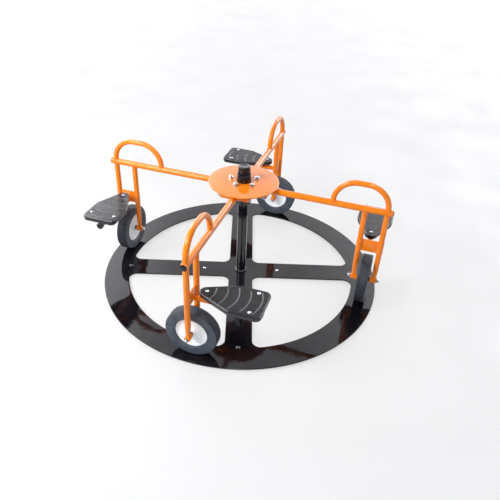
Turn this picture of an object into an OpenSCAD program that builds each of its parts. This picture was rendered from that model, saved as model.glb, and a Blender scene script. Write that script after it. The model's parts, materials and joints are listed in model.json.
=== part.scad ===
// Small merry go round for four seated toddlers.
// A black ring plate with a cross carries a post; on the post turns an orange
// disc with four arms, and each arm ends in a fork with a wheel that rolls on the
// ring, a grab handle above the fork and a saddle-like seat beside it.
// Millimetres, +Z up. Origin: centre of the base, on the floor.
// +X lies along one leg of the cross.

/* [Base] */
// Outer diameter of the ring plate
base_d = 1200; // [1180:5:1220]
// Width of the ring and of the legs of the cross
rail_w = 105; // [95:1:110]
// Thickness of the base plate
plate_t = 6; // [5:0.5:8]
// Radius in the corners of the four windows
window_corner_r = 32; // [20:1:45]
// Height of the rubber pads under the plate
pad_h = 6; // [4:0.5:8]

/* [Post and disc] */
// Outer diameter of the post
post_d = 42.4; // [41:0.1:44]
// Diameter of the turning disc
disc_d = 288; // [280:1:300]
// Thickness of the turning disc
disc_t = 6; // [5:0.5:8]
// Pitch circle of the five hub studs
hub_pcd = 112; // [108:1:114]

/* [Arms] */
// Height of the arm tubes' centre line above the floor
arm_h = 440; // [430:1:450]
// Direction of the first arm, counter-clockwise from +X
arm_angle = 72; // [0:1:89]
// Outer diameter of the arm tube and its cross tube
arm_d = 30; // [28:0.5:31]
// Outer diameter of the handle, fork and seat tubes
tube_d = 22; // [20:0.5:24]
// Wall thickness of the tubes
tube_wall = 2; // [1.5:0.25:2.5]
// Height of the handle's centre line above the floor
handle_h = 543; // [535:1:560]

/* [Wheels] */
// Diameter over the tyre
wheel_d = 204; // [196:1:206]
// Width over the tyre's side walls
tyre_w = 44; // [40:1:48]
// Distance from the post to the middle of the tyre
track_r = 540; // [536:1:545]

/* [Seats] */
// Height of the seat's top above the floor
seat_h = 309; // [305:1:315]
// Overall length of a seat
seat_l = 240; // [230:1:244]
// Width of a seat at its back
seat_w = 146; // [138:1:152]

/* [Hidden] */
$fn = 32;
round_fn = 96;

orange = [0.93, 0.45, 0.10];
gloss_black = [0.05, 0.05, 0.055];
soft_black = [0.09, 0.09, 0.10];
zinc = [0.76, 0.77, 0.79];
wheel_white = [0.93, 0.94, 0.95];

fit_gap = 0.1;      // clearance round a fixed bolt or pin
run_gap = 0.05;     // radial clearance of a turning fit

base_r = base_d / 2;
ring_in_r = base_r - rail_w;
plate_top = pad_h + plate_t;
pad_d = 40;
cross_screw_d = 6;
cross_head_d = 12.5;
cross_screw_r = 164;
ring_screw_d = 8;
ring_head_d = 17;
ring_screw_r = ring_in_r - 1;
post_weld_r = 4.5;  // bead of the weld round the foot of the post

disc_under = arm_h + arm_d / 2 + 1;
disc_top = disc_under + disc_t;

// Hub, bearings and spindle, stacked down from the disc
stud_d = 10;
stud_count = 5;
stud_first = arm_angle + 90 / stud_count;
flange_d = 140;
flange_t = 8;
spigot_d = 58;
spigot_h = 14;
barrel_d = 68;
barrel_h = 82;
hub_bottom = disc_under - flange_t - barrel_h;
low_bore = 30;      // lower bearing: bore, outside and width
low_od = 55;
low_w = 13;
up_bore = 25;       // upper bearing: bore, outside and width
up_od = 52;
up_w = 15;
low_z = hub_bottom + 2;
up_z = disc_under - 26;
nut_w = 17;         // across flats, M10
nut_h = 8.4;
washer_t = 2;
hub_washer_d = 20;
stud_head_d = 16;
stud_head_h = 4;
spare_thread = 4;   // thread seen beyond a tightened nut
race_w = 5.5;       // from a bearing's outside to where its two rings meet
post_top = hub_bottom - 3;
post_wall = 3.2;
spindle_plug_l = 60;
spindle_collar_d = 40;
thread_d = 20;
thread_z = up_z + up_w;
thread_l = 24;
spindle_washer_d = 34;
spindle_washer_t = 2.5;
spindle_nut_w = 30;
spindle_nut_h = 14;

// Cap over the hub
cap_h = 67;
cap_base_d = 63;
cap_top_d = 50;
cap_edge_r = 5;
cap_wall = 2.3;
cap_gap = 1;        // above the hub's spigot

// Arms, measured out from the post along each arm
pivot_r = 105;
cross_l = 106;
lug_t = 6;
arm_bolt_d = 10;
arm_bolt_head_h = 6.4;
arm_tip = 603;
fork_half = 42.5;
leg_in_r = track_r - fork_half;
leg_out_r = track_r + fork_half;
handle_in_r = 369;
handle_bend_r = 90;

// Wheel and axle
wheel_r = wheel_d / 2;
tyre_gap = 0.4;     // the tyre stands just clear of the plate
axle_h = plate_top + wheel_r + tyre_gap;
axle_d = 8;
axle_nut_w = 13;    // across flats, M8
axle_nut_h = 7;
rim_r = 62.5;
rim_t = 7;
rim_w = 32;
web_w = 28;
hub_w = 40;
hub_r = 17;
hub_play = 0.3;     // between the wheel's hub and each spacer
bush_d = 18;
tyre_shoulder_r = 6.5;
boss_d = 24;
boss_in = 27;       // from the wheel's middle to the bosses' inner faces
boss_out = fork_half + 12;
axle_thread_l = 9.5; // beyond each boss, inside the dome nut
taper_h = 60;
foot_taper_d = 17;
bridge_t = 5;
bridge_low = axle_h + wheel_r + 33.6;
bridge_high = bridge_low + 54;

// Seat and the tube that carries it
seat_t = 20;
seat_x = 534.5;
seat_tip_y = 28;
seat_edge_r = 5;
seat_tube_h = 268;
seat_tube_l = 256;
seat_cap_d = 27;
seat_cap_l = 14;
seat_plate_t = 5;
seat_plate_w = 25;
seat_plate_l = 124;
tip_plate_l = 32;
web_t = 6;          // web between a seat plate and the seat tube
seat_under = seat_h - seat_t;
seat_screw_d = 8;
seat_head_d = 12.5;
seat_head_h = 3.5;
rear_screw_y = 225;
tip_screw_y = 55;
rear_screw_dx = 52;
plug_t = 3;

arms = [1 : 4];
EACH_ARM = ["arm", "arm_plug", "seat_tube_cap", "axle", "wheel_disc", "wheel_bush", "tyre", "seat"];

// ---- helpers ----

// Outline of a belt drawn tight round circles given as [x, y, r], counter-clockwise
function direction(a, b) = atan2(b.y - a.y, b.x - a.x);
function leave_angle(a, b) = direction(a, b) - acos((a.z - b.z) / norm([b.x - a.x, b.y - a.y]));
function wrap_from(start, end) = end < start ? wrap_from(start, end + 360) : end;
function belt(circles, steps) = let (n = len(circles)) [
    for (i = [0 : n - 1])
        let (c = circles[i],
             start = leave_angle(circles[(i + n - 1) % n], c),
             end = wrap_from(start, leave_angle(c, circles[(i + 1) % n])))
        for (s = [0 : steps])
            let (a = start + (end - start) * s / steps)
            [c.x + c.z * cos(a), c.y + c.z * sin(a)]];

module tube_x(x0, x1, d) translate([x0, 0, 0]) rotate([0, 90, 0]) cylinder(d = d, h = x1 - x0);

module tube_y(y0, y1, d) translate([0, y0, 0]) rotate([-90, 0, 0]) cylinder(d = d, h = y1 - y0);

module ring(outer_d, inner_d, h) difference() {
    cylinder(d = outer_d, h = h, $fn = 64);
    translate([0, 0, -1]) cylinder(d = inner_d, h = h + 2, $fn = 64);
}

// Hexagonal nut standing on z = 0, bored right through
module hex_nut(flats, h, bore) difference() {
    cylinder(d = flats / cos(30), h = h, $fn = 6);
    translate([0, 0, -1]) cylinder(d = bore, h = h + 2);
}

// Low domed screw head on z = 0
module button_head(d, h) {
    base_h = h / 4;
    sphere_r = (pow(d / 2, 2) + pow(h - base_h, 2)) / (2 * (h - base_h));
    cylinder(d = d, h = base_h);
    rotate_extrude() intersection() {
        translate([0, h - sphere_r]) circle(r = sphere_r, $fn = 128);
        translate([0, base_h]) square([d / 2, h - base_h]);
    }
}

// Puts something at the end of arm number i; the arm runs along +X
module on_arm(i) rotate([0, 0, arm_angle + 90 * (i - 1)]) children();

module on_every_arm() for (i = arms) on_arm(i) children();

// The wheel's own frame: axle along +Z, pointing out from the post
module on_axle() translate([track_r, 0, axle_h]) rotate([0, 90, 0]) children();

// Puts something on each leg of the cross, r out from the post
module on_every_leg(r) for (leg = [0 : 90 : 270]) rotate([0, 0, leg]) translate([r, 0, 0]) children();

module each_stud()
    for (k = [0 : stud_count - 1])
        rotate([0, 0, stud_first + 360 / stud_count * k]) translate([hub_pcd / 2, 0, 0]) children();

module each_seat_screw() {
    for (side = [-1, 1]) translate([seat_x + side * rear_screw_dx, rear_screw_y, 0]) children();
    translate([seat_x, tip_screw_y, 0]) children();
}

// ---- base ----

// The metal left standing in one corner of a window, beyond its round corner.
// The corner lies between the lower leg of the cross and the ring.
module ring_corner() {
    c = window_corner_r;
    cy = rail_w / 2 + c;
    cx = sqrt(pow(ring_in_r - c, 2) - pow(cy, 2));
    reach = base_r / (ring_in_r - c);
    difference() {
        polygon([[cx, cy], [cx, 0], [base_r, 0], [cx * reach, cy * reach]]);
        translate([cx, cy]) circle(r = c, $fn = 64);
    }
}

module cross_corner() {
    c = window_corner_r;
    difference() {
        square(rail_w / 2 + c);
        translate([rail_w / 2 + c, rail_w / 2 + c]) circle(r = c, $fn = 64);
    }
}

module window() difference() {
    intersection() {
        circle(r = ring_in_r, $fn = 180);
        translate([rail_w / 2, rail_w / 2]) square(base_r);
    }
    cross_corner();
    ring_corner();
    mirror([1, -1, 0]) ring_corner();
}

module base_plate() color(gloss_black) difference() {
    translate([0, 0, pad_h]) linear_extrude(plate_t) difference() {
        circle(r = base_r, $fn = 180);
        for (turn = [0 : 90 : 270]) rotate(turn) window();
    }
    on_every_leg(cross_screw_r) cylinder(d = cross_screw_d + 2 * fit_gap, h = plate_top + 1);
    on_every_leg(ring_screw_r) cylinder(d = ring_screw_d + 2 * fit_gap, h = plate_top + 1);
}

module base_pads() color(soft_black) {
    on_every_leg(cross_screw_r) ring(pad_d, cross_screw_d + 2 * fit_gap, pad_h);
    on_every_leg(ring_screw_r) ring(pad_d, ring_screw_d + 2 * fit_gap, pad_h);
}

// A flanged button-head screw through the plate into its pad
module foot_screw(head_d, d) {
    shank_end_z = 1.5;
    translate([0, 0, plate_top]) button_head(head_d, head_d / 4);
    translate([0, 0, shank_end_z]) cylinder(d = d, h = plate_top - shank_end_z + 0.5);
}

module cross_screws() color(zinc) on_every_leg(cross_screw_r) foot_screw(cross_head_d, cross_screw_d);

module ring_screws() color(soft_black) on_every_leg(ring_screw_r) foot_screw(ring_head_d, ring_screw_d);

// ---- post, spindle and bearings ----

module centre_post() color(gloss_black) {
    post_r = post_d / 2;
    translate([0, 0, plate_top]) rotate_extrude($fn = 64) {
        translate([post_r - post_wall, 0]) square([post_wall, post_top - plate_top]);
        intersection() {
            translate([post_r + 0.5, post_weld_r - 1]) circle(r = post_weld_r, $fn = 48);
            translate([post_r - 1, 0]) square(2 * post_weld_r);
        }
    }
}

module spindle() color(zinc) {
    plug_d = post_d - 2 * post_wall - 2 * run_gap;
    translate([0, 0, post_top - spindle_plug_l]) cylinder(d = plug_d, h = spindle_plug_l);
    translate([0, 0, post_top]) cylinder(d = spindle_collar_d, h = low_z - post_top);
    translate([0, 0, low_z]) cylinder(d = low_bore, h = low_w + 1);
    translate([0, 0, low_z + low_w]) cylinder(d = up_bore + 3, h = up_z - low_z - low_w);
    translate([0, 0, up_z]) cylinder(d = up_bore, h = up_w);
    translate([0, 0, thread_z]) cylinder(d = thread_d, h = thread_l);
}

// Inner ring with its seal; the outer ring turns round it
module bearing_inner(bore, od, w) color(zinc) ring(od - 2 * race_w, bore + 2 * fit_gap, w);

module bearing_outer(od, w) color(zinc) ring(od, od - 2 * race_w + 2 * run_gap, w);

module lower_bearing_inner() translate([0, 0, low_z]) bearing_inner(low_bore, low_od, low_w);

module lower_bearing_outer() translate([0, 0, low_z]) bearing_outer(low_od, low_w);

module upper_bearing_inner() translate([0, 0, up_z]) bearing_inner(up_bore, up_od, up_w);

module upper_bearing_outer() translate([0, 0, up_z]) bearing_outer(up_od, up_w);

module spindle_washer() color(zinc) translate([0, 0, thread_z])
    ring(spindle_washer_d, thread_d + 2 * fit_gap, spindle_washer_t);

module spindle_nut() color(zinc) translate([0, 0, thread_z + spindle_washer_t])
    hex_nut(spindle_nut_w, spindle_nut_h, thread_d + 2 * fit_gap);

// ---- hub and disc ----

module hub() color(soft_black) difference() {
    union() {
        translate([0, 0, hub_bottom]) cylinder(d = barrel_d, h = barrel_h + 1, $fn = 64);
        translate([0, 0, disc_under - flange_t]) cylinder(d = flange_d, h = flange_t, $fn = 64);
        translate([0, 0, disc_under - 1]) cylinder(d = spigot_d, h = spigot_h + 1, $fn = 64);
    }
    translate([0, 0, hub_bottom - 1]) cylinder(d = up_od - 4, h = barrel_h + spigot_h + 20, $fn = 64);
    translate([0, 0, hub_bottom - 1]) cylinder(d = low_od + fit_gap, h = low_w + 3, $fn = 64);
    translate([0, 0, up_z]) cylinder(d = up_od + fit_gap, h = barrel_h, $fn = 64);
    translate([0, 0, disc_under - flange_t - 1]) each_stud()
        cylinder(d = stud_d + 2 * fit_gap, h = flange_t + 2);
}

module hub_studs() color(zinc) translate([0, 0, disc_under - flange_t]) each_stud() {
    translate([0, 0, -stud_head_h]) cylinder(d = stud_head_d, h = stud_head_h);
    translate([0, 0, -1])
        cylinder(d = stud_d, h = flange_t + disc_t + washer_t + nut_h + spare_thread);
}

module hub_washers() color(zinc) translate([0, 0, disc_top])
    each_stud() ring(hub_washer_d, stud_d + 2 * fit_gap, washer_t);

module hub_nuts() color(zinc) translate([0, 0, disc_top + washer_t])
    each_stud() hex_nut(nut_w, nut_h, stud_d + 2 * fit_gap);

// Black moulded cap: a tapering bell with a rounded rim and a flat top
module hub_cap() color(gloss_black) translate([0, 0, disc_top]) rotate_extrude($fn = 64)
    difference() {
        cap_profile(0);
        cap_profile(cap_wall);
        translate([0, -1]) square([spigot_d / 2 + fit_gap, spigot_h - disc_t + 1 + cap_gap]);
    }

// Half section of the cap, drawn smaller by inset
module cap_profile(inset) {
    edge = cap_edge_r - min(inset, cap_edge_r - 1);
    polygon(concat(
        [[0, inset > 0 ? -1 : 0], [cap_base_d / 2 - inset, inset > 0 ? -1 : 0]],
        [for (a = [0 : 15 : 90])
            [cap_top_d / 2 - inset - edge * (1 - cos(a)), cap_h - inset - edge * (1 - sin(a))]],
        [[0, cap_h - inset]]));
}

// One of the two plates that hold an arm's cross tube
module lug() difference() {
    union() {
        translate([-arm_d / 2, 0, 0]) cube([arm_d, lug_t, disc_under - arm_h + 1]);
        tube_y(0, lug_t, arm_d);
    }
    tube_y(-1, lug_t + 1, arm_bolt_d + 2 * fit_gap);
}

module top_disc() color(orange) {
    translate([0, 0, disc_under]) difference() {
        cylinder(d = disc_d, h = disc_t, $fn = round_fn);
        translate([0, 0, -1]) cylinder(d = spigot_d + 1, h = disc_t + 2, $fn = 64);
        translate([0, 0, -1]) each_stud() cylinder(d = stud_d + 1, h = disc_t + 2);
    }
    on_every_arm() for (side = [0, 1]) mirror([0, side, 0])
        translate([pivot_r, cross_l / 2 + fit_gap, arm_h]) lug();
}

module arm_bolts() color(zinc) on_every_arm() translate([pivot_r, 0, arm_h]) {
    head_y = cross_l / 2 + lug_t + fit_gap;
    tube_y(-head_y - nut_h - spare_thread - 1, head_y + 1, arm_bolt_d);
    translate([0, head_y, 0]) rotate([-90, 0, 0])
        cylinder(d = nut_w / cos(30), h = arm_bolt_head_h, $fn = 6);
}

module arm_bolt_nuts() color(zinc) on_every_arm()
    translate([pivot_r, -(cross_l / 2 + lug_t + fit_gap), arm_h]) rotate([90, 0, 0])
        hex_nut(nut_w, nut_h, arm_bolt_d + 2 * fit_gap);

// ---- arms ----

// Grab handle: up from the arm, over and down again, as one bent tube
module handle(d) {
    straight_h = handle_h - handle_bend_r - arm_h;
    for (x = [handle_in_r, leg_out_r])
        translate([x, 0, arm_h]) cylinder(d = d, h = straight_h);
    for (end = [[handle_in_r + handle_bend_r, 90], [leg_out_r - handle_bend_r, 0]])
        translate([end[0], 0, handle_h - handle_bend_r]) rotate([90, 0, 0])
            rotate([0, 0, end[1]]) rotate_extrude(angle = 90, $fn = round_fn)
                translate([handle_bend_r, 0]) circle(d = d, $fn = 32);
    translate([0, 0, handle_h])
        tube_x(handle_in_r + handle_bend_r, leg_out_r - handle_bend_r, d);
}

// One fork leg, straight down from the arm, tapering to the axle boss
module fork_leg() {
    translate([0, 0, axle_h + taper_h]) cylinder(d = tube_d, h = arm_h - axle_h - taper_h);
    translate([0, 0, axle_h]) cylinder(d1 = foot_taper_d, d2 = tube_d, h = taper_h);
}

module fork() {
    for (x = [leg_in_r, leg_out_r]) translate([x, 0, 0]) fork_leg();
    on_axle() for (side = [0, 1]) mirror([0, 0, side])
        translate([0, 0, boss_in]) cylinder(d = boss_d, h = boss_out - boss_in);
    translate([leg_in_r, -bridge_t / 2, bridge_low])
        cube([2 * fork_half, bridge_t, bridge_high - bridge_low]);
}

// Flat plate under the seat, with a web down to the seat tube
module seat_bracket(y, length) {
    translate([seat_x - length / 2, y - seat_plate_w / 2, seat_under - seat_plate_t])
        cube([length, seat_plate_w, seat_plate_t]);
    web_low = seat_tube_h + tube_d / 2 - 5;
    translate([seat_x - web_t / 2, y - seat_plate_w / 2, web_low])
        cube([web_t, seat_plate_w, seat_under - seat_plate_t - web_low + 1]);
}

module seat_carrier() {
    translate([seat_x, 0, seat_tube_h]) tube_y(0, seat_tube_l, tube_d);
    seat_bracket(rear_screw_y, seat_plate_l);
    seat_bracket(tip_screw_y, tip_plate_l);
}

module arm_bores() {
    bore = tube_d - 2 * tube_wall;
    leg_bore_h = arm_h - axle_h - taper_h - 6;
    cross_wall = 7; // from the cross tube's outside to the arm tube's bore
    translate([0, 0, arm_h]) tube_x(pivot_r + arm_d / 2 + cross_wall, arm_tip + 1, arm_d - 2 * tube_wall);
    translate([pivot_r, 0, arm_h]) tube_y(-cross_l, cross_l, arm_bolt_d + 2 * fit_gap);
    handle(bore);
    for (x = [leg_in_r, leg_out_r])
        translate([x, 0, arm_h - leg_bore_h]) cylinder(d = bore, h = leg_bore_h);
    on_axle() cylinder(d = axle_d + 2 * fit_gap, h = 200, center = true);
    translate([seat_x, 0, seat_tube_h]) tube_y(bridge_t / 2 + 2, seat_tube_l + 1, bore);
    translate([0, 0, seat_under - seat_plate_t - 1])
        each_seat_screw() cylinder(d = seat_screw_d + 2 * fit_gap, h = seat_plate_t + 2);
}

// Welded arm: cross tube, arm tube, handle, fork and seat carrier
module arm() color(orange) difference() {
    union() {
        translate([pivot_r, 0, arm_h]) tube_y(-cross_l / 2, cross_l / 2, arm_d);
        translate([0, 0, arm_h]) tube_x(pivot_r, arm_tip, arm_d);
        handle(tube_d);
        fork();
        seat_carrier();
    }
    arm_bores();
}

// Push-in end plug: a rim over the tube end and a spigot inside it; +Z points out
module end_plug(d) {
    bore = d - 2 * tube_wall - 2 * fit_gap;
    grip = 10;
    translate([0, 0, -grip]) cylinder(d = bore, h = grip + 0.5);
    rotate_extrude() intersection() {
        square([d / 2, plug_t]);
        translate([0, plug_t - d]) circle(r = d, $fn = 128);
    }
}

module arm_plug() color(soft_black)
    translate([arm_tip, 0, arm_h]) rotate([0, 90, 0]) end_plug(arm_d);

// Black cap pushed over the end of the seat tube
module seat_tube_cap() color(soft_black) translate([seat_x, seat_tube_l + plug_t, seat_tube_h])
    rotate([90, 0, 0]) difference() {
        union() {
            cylinder(d1 = seat_cap_d - 2, d2 = seat_cap_d, h = 1);
            translate([0, 0, 1]) cylinder(d = seat_cap_d, h = seat_cap_l - 1);
        }
        translate([0, 0, plug_t]) cylinder(d = tube_d + 2 * fit_gap, h = seat_cap_l);
    }

// ---- wheels ----

module axle() color(zinc) on_axle()
    cylinder(d = axle_d, h = 2 * (boss_out + axle_thread_l), center = true);

module axle_spacers() color(soft_black) on_every_arm() on_axle()
    for (side = [0, 1]) mirror([0, 0, side]) translate([0, 0, hub_w / 2 + hub_play])
        ring(bush_d, axle_d + 2 * fit_gap, boss_in - hub_w / 2 - hub_play);

// Domed nut: a hexagon and a round dome closed over the end of the axle
module dome_nut() difference() {
    dome_r = axle_nut_w / 2 - 0.5;
    union() {
        cylinder(d = axle_nut_w / cos(30), h = axle_nut_h, $fn = 6);
        translate([0, 0, axle_nut_h]) rotate_extrude($fn = 48) intersection() {
            circle(r = dome_r);
            square(axle_nut_w);
        }
    }
    translate([0, 0, -1]) cylinder(d = axle_d + 2 * fit_gap, h = axle_thread_l + 1.5);
}

module axle_nuts() color(zinc) on_every_arm() on_axle()
    for (side = [0, 1]) mirror([0, 0, side]) translate([0, 0, boss_out]) dome_nut();

module wheel_disc() color(wheel_white) on_axle() rotate_extrude($fn = round_fn) difference() {
    union() {
        translate([0, -hub_w / 2]) square([hub_r, hub_w]);
        translate([0, -web_w / 2]) square([rim_r - rim_t / 2, web_w]);
        translate([rim_r - rim_t, -rim_w / 2]) square([rim_t, rim_w]);
    }
    translate([-1, -hub_w]) square([bush_d / 2 + 1, 2 * hub_w]);
}

module wheel_bush() color(soft_black) on_axle() translate([0, 0, -hub_w / 2])
    ring(bush_d - 2 * run_gap, axle_d + 2 * run_gap, hub_w);

// Solid tyre: a rounded rectangle turned about the axle
module tyre() color(soft_black) on_axle() rotate_extrude($fn = round_fn) {
    shoulder = tyre_shoulder_r;
    bead = 5;
    inner = rim_r + run_gap;
    half_w = tyre_w / 2;
    translate([inner + bead, -half_w]) square([wheel_r - shoulder - inner - bead, tyre_w]);
    translate([inner, bead - half_w]) square([bead, tyre_w - 2 * bead]);
    translate([wheel_r - shoulder, shoulder - half_w]) square([shoulder, tyre_w - 2 * shoulder]);
    for (side = [-1, 1]) {
        translate([inner + bead, side * (half_w - bead)]) circle(r = bead);
        translate([wheel_r - shoulder, side * (half_w - shoulder)]) circle(r = shoulder, $fn = 48);
    }
}

// ---- seats ----

// Seat outline, pulled in by inset: a small round tip, full shoulders, round back corners
module seat_outline(inset) {
    tip_r = 26;
    shoulder_r = 45;
    shoulder_y = seat_tip_y + 0.56 * seat_l;
    corner_r = 22;
    half_w = seat_w / 2;
    back_y = seat_tip_y + seat_l;
    translate([seat_x, 0]) polygon(belt([
        [0, seat_tip_y + tip_r, tip_r - inset],
        [half_w - shoulder_r, shoulder_y, shoulder_r - inset],
        [half_w - corner_r, back_y - corner_r, corner_r - inset],
        [corner_r - half_w, back_y - corner_r, corner_r - inset],
        [shoulder_r - half_w, shoulder_y, shoulder_r - inset]], 6));
}

// The seat is built in layers, so that its edges come out rounded
module seat() color(soft_black) difference() {
    translate([0, 0, seat_under]) for (turn = [0 : 30 : 90]) {
        lift = seat_edge_r * (1 - cos(turn));
        translate([0, 0, lift]) linear_extrude(seat_t - 2 * lift)
            seat_outline(seat_edge_r * (1 - sin(turn)));
    }
    translate([0, 0, seat_under - 1]) each_seat_screw()
        cylinder(d = seat_screw_d + 2 * fit_gap, h = seat_t + 2);
}

module seat_screws() color(zinc) on_every_arm() each_seat_screw() {
    shank = seat_t + seat_plate_t - 1;
    translate([0, 0, seat_h]) button_head(seat_head_d, seat_head_h);
    translate([0, 0, seat_h - shank]) cylinder(d = seat_screw_d, h = shank + 0.5);
}

// ---- what to draw ----

base_plate();
base_pads();
cross_screws();
ring_screws();
centre_post();
spindle();
lower_bearing_inner();
lower_bearing_outer();
upper_bearing_inner();
upper_bearing_outer();
spindle_washer();
spindle_nut();
hub();
hub_studs();
hub_washers();
hub_nuts();
hub_cap();
top_disc();
arm_bolts();
arm_bolt_nuts();
axle_spacers();
axle_nuts();
seat_screws();
for (i = arms) {
    on_arm(i) arm();
    on_arm(i) arm_plug();
    on_arm(i) seat_tube_cap();
    on_arm(i) axle();
    on_arm(i) wheel_disc();
    on_arm(i) wheel_bush();
    on_arm(i) tyre();
    on_arm(i) seat();
}
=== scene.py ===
"""Looks of a merry go round for four toddlers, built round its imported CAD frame. Metres, +Z up."""

import json
import math

import bmesh
import bpy
from mathutils import Matrix, Vector


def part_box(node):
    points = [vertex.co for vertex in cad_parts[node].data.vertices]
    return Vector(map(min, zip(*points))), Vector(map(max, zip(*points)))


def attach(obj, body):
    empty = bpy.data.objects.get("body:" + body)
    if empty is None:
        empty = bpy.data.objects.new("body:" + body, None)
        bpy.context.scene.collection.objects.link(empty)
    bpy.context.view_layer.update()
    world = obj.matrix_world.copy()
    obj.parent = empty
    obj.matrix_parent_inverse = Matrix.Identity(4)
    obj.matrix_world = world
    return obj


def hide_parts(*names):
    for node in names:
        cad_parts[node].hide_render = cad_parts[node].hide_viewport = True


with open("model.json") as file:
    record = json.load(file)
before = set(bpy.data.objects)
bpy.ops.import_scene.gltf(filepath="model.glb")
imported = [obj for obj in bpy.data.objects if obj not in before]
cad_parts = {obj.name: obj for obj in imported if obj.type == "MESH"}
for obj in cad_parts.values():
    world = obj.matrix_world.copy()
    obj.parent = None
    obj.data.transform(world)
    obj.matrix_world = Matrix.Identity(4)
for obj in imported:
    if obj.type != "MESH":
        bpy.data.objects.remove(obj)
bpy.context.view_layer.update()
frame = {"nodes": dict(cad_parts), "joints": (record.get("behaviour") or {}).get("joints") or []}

ARMS = (1, 2, 3, 4)
TAU = 2 * math.pi
MM = 0.001


# ---------------------------------------------------------------- places read from the frame

def joint(name):
    return next(j for j in frame["joints"] if j["name"] == name)


def arm_turn(i):
    """Turns the arm's own frame, +X outwards, to where arm i stands."""
    out = joint(f"wheel_{i}_spin")["axis"]
    return Matrix.Rotation(math.atan2(out[1], out[0]), 4, "Z")


def arm_box(node):
    """Corners of one of arm 1's nodes, in the arm's own frame."""
    back = arm_turn(1).inverted()
    points = [back @ v.co for v in frame["nodes"][node].data.vertices]
    low = Vector(min(p[k] for p in points) for k in range(3))
    high = Vector(max(p[k] for p in points) for k in range(3))
    return low, high


wheel_place = Vector(joint("wheel_1_spin")["pos_m"])
TRACK = wheel_place.xy.length
AXLE_H = wheel_place.z

arm_low, arm_high = arm_box("arm_1")
plug_low, plug_high = arm_box("arm_plug_1")
stub_low, stub_high = arm_box("seat_tube_cap_1")
seat_low, seat_high = arm_box("seat_1")
tyre_low, tyre_high = arm_box("tyre_1")
disc_low, disc_high = arm_box("wheel_disc_1")
cap_low, cap_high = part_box("hub_cap")
washer_low, washer_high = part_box("hub_washers")
plate_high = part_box("base_plate")[1]
post_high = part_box("centre_post")[1]

ARM_H = (plug_low.z + plug_high.z) / 2
ARM_R = (plug_high.z - plug_low.z) / 2
PLUG_T = 3 * MM
ARM_TIP = plug_high.x - PLUG_T
TUBE_R = 11 * MM
SEAT_TUBE_X = (stub_low.x + stub_high.x) / 2
SEAT_TUBE_H = (stub_low.z + stub_high.z) / 2
SEAT_TUBE_END = stub_high.y - PLUG_T
PIVOT_X = arm_low.x + ARM_R
CROSS_HALF = -arm_low.y
HANDLE_H = arm_high.z - TUBE_R
BOSS_R = AXLE_H - arm_low.z

# The disc stands on the hub's flange; lugs hang from it to hold the cross tubes
DISC_TOP = washer_low.z
DISC_UNDER = DISC_TOP - 6 * MM
DISC_R = 144 * MM
SPIGOT_R = 29 * MM
STUD_RING_R = 56 * MM
STUDS = 5
GROOVES = 5
NUT_FLATS = 17 * MM
NUT_H = 8.4 * MM
BOLT_R = 5 * MM
WASHER_R = 10 * MM
BOLT_HEAD_H = 6.4 * MM
THREAD_PITCH = 1.5 * MM
LUG_T = 6 * MM
POST_R = 21.2 * MM

# The fork straddles the wheel, half the gap between its legs to either side
FORK_HALF = 42.5 * MM
LEG_IN = TRACK - FORK_HALF
LEG_OUT = TRACK + FORK_HALF
LEG_FOOT_R = 8.5 * MM
LEG_TAPER_H = 60 * MM
BOSS_IN = 27 * MM
BOSS_OUT = FORK_HALF + 12 * MM
HANDLE_IN = 369 * MM
HANDLE_BEND_R = 90 * MM
BRIDGE_LOW = AXLE_H + 135.6 * MM
BRIDGE_HIGH = BRIDGE_LOW + 54 * MM
BRIDGE_T = 5 * MM
BRACKET_T = 5 * MM
BRACKET_HALF_W = 12.5 * MM
WEB_HALF_T = 3 * MM
AXLE_R = 4 * MM
AXLE_NUT_FLATS = 13 * MM
AXLE_NUT_H = 7 * MM

SEAT_X = (seat_low.x + seat_high.x) / 2
SEAT_TOP = seat_high.z
SEAT_UNDER = seat_low.z
SEAT_HALF_W = (seat_high.x - seat_low.x) / 2
SEAT_L = seat_high.y - seat_low.y
SEAT_SHANK_R = 4 * MM
SCREW_TIP_Y = seat_low.y + 27 * MM
SCREW_BACK_Y = seat_high.y - 43 * MM
SCREW_BACK_DX = 52 * MM


# ---------------------------------------------------------------- mesh helpers

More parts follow.
